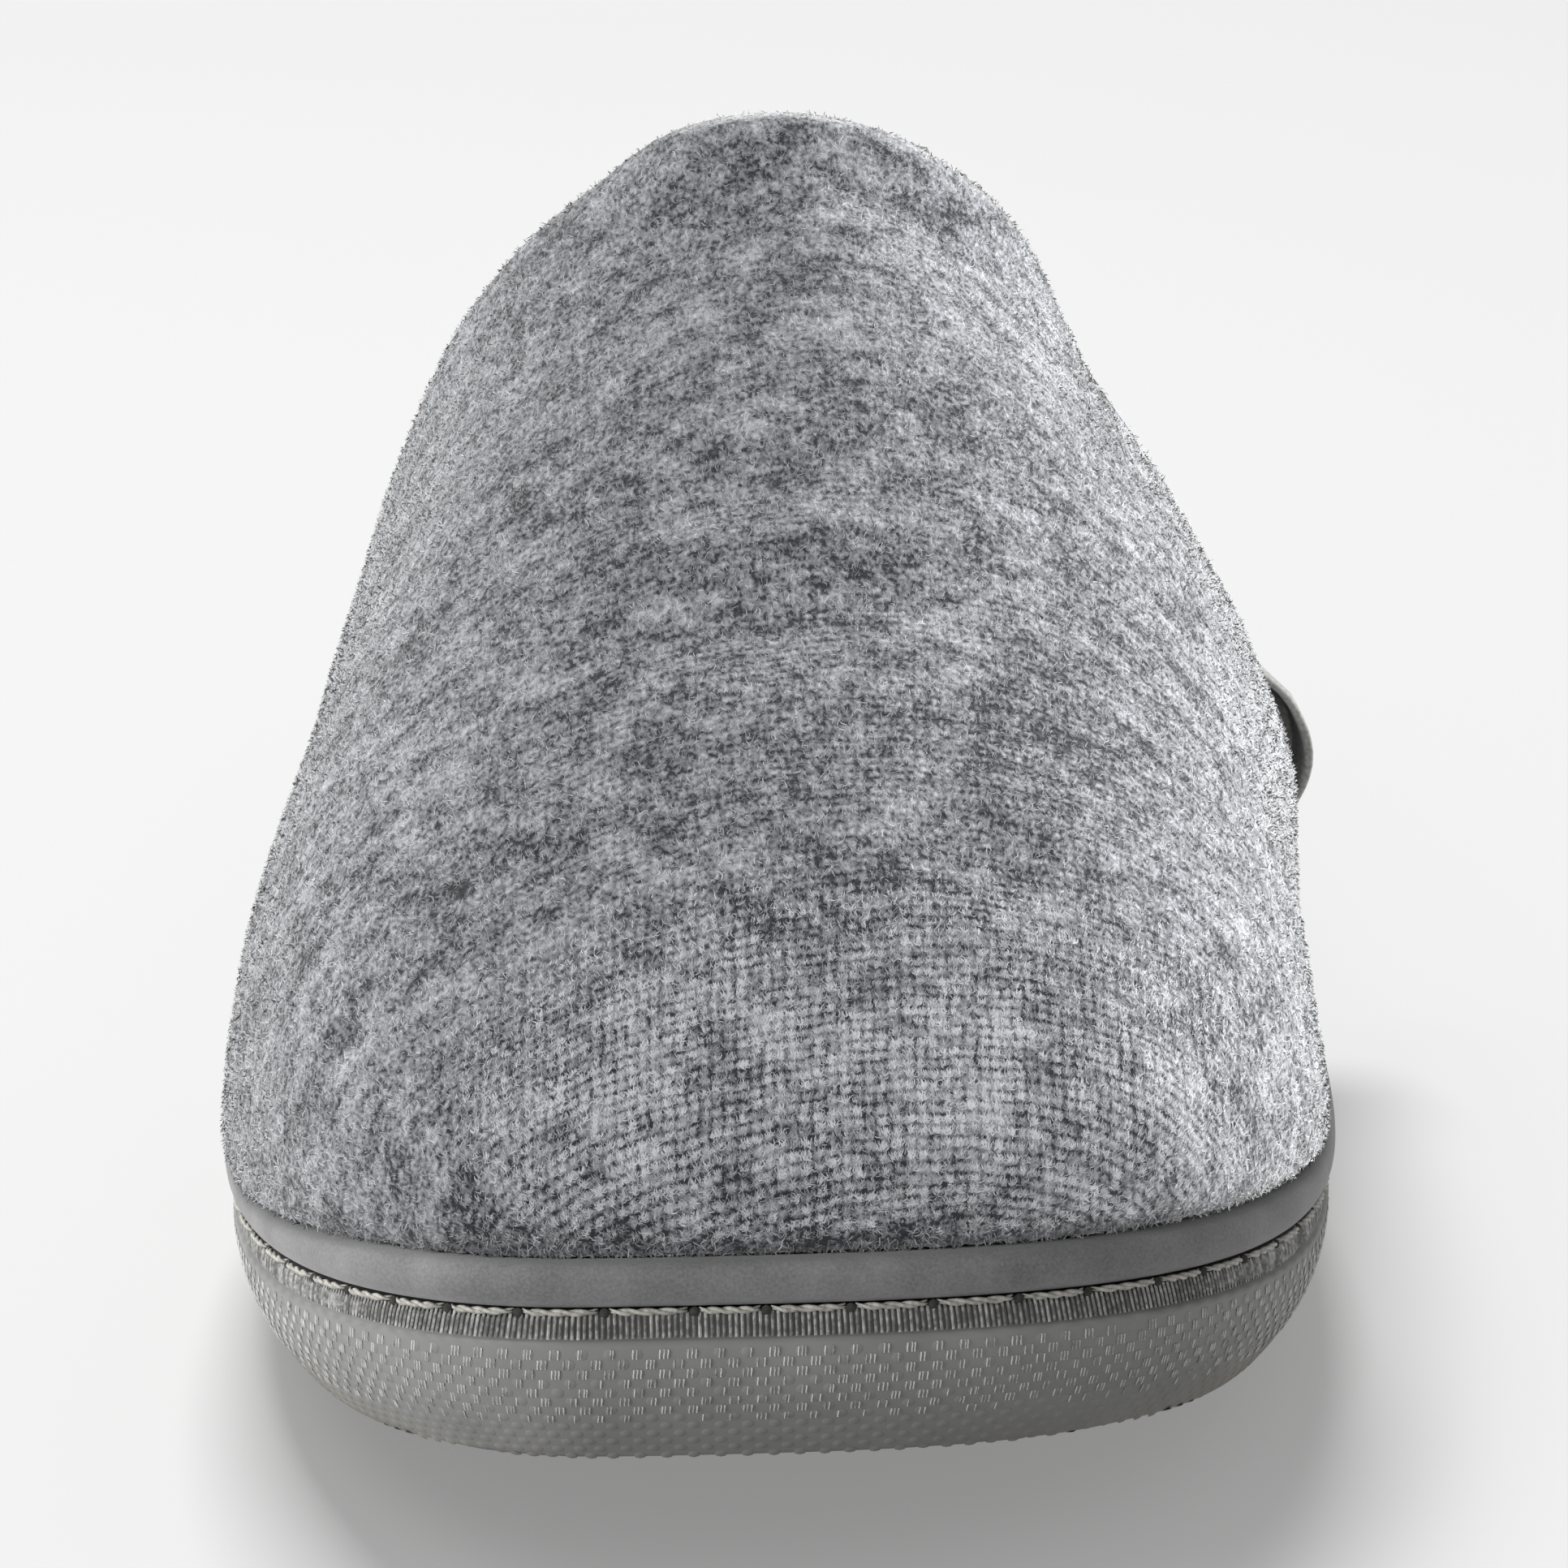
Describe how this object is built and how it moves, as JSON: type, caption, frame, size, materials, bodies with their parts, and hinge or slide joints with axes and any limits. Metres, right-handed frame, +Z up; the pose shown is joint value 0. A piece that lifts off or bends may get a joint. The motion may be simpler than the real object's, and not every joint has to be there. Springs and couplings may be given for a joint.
{
  "type": "mule slipper",
  "caption": "Soft closed-toe, open-back house slipper: padded grey knit upper and rolled piping on a low wrapped sole with a dotted wall.",
  "frame": {"origin": "on the floor, under the middle of the shoe's bounding box", "axes": "+Z up from the floor, toe towards -Y and heel towards +Y, outer (lateral) side of the left foot towards +X"},
  "size_m": [0.1106, 0.2874, 0.1052],
  "materials": {
    "sole": "matt grey rubber-coated cloth with raised dots",
    "piping": "smooth short velour",
    "insole": "brushed cloth over foam",
    "upper": "brushed melange knit over foam",
    "collar_binding": "plain woven tape"
  },
  "bodies": {
    "root": {"sole": "sole", "piping": "piping", "insole": "insole", "upper": "upper", "collar_binding": "collar_binding"}
  },
  "joints": []
}
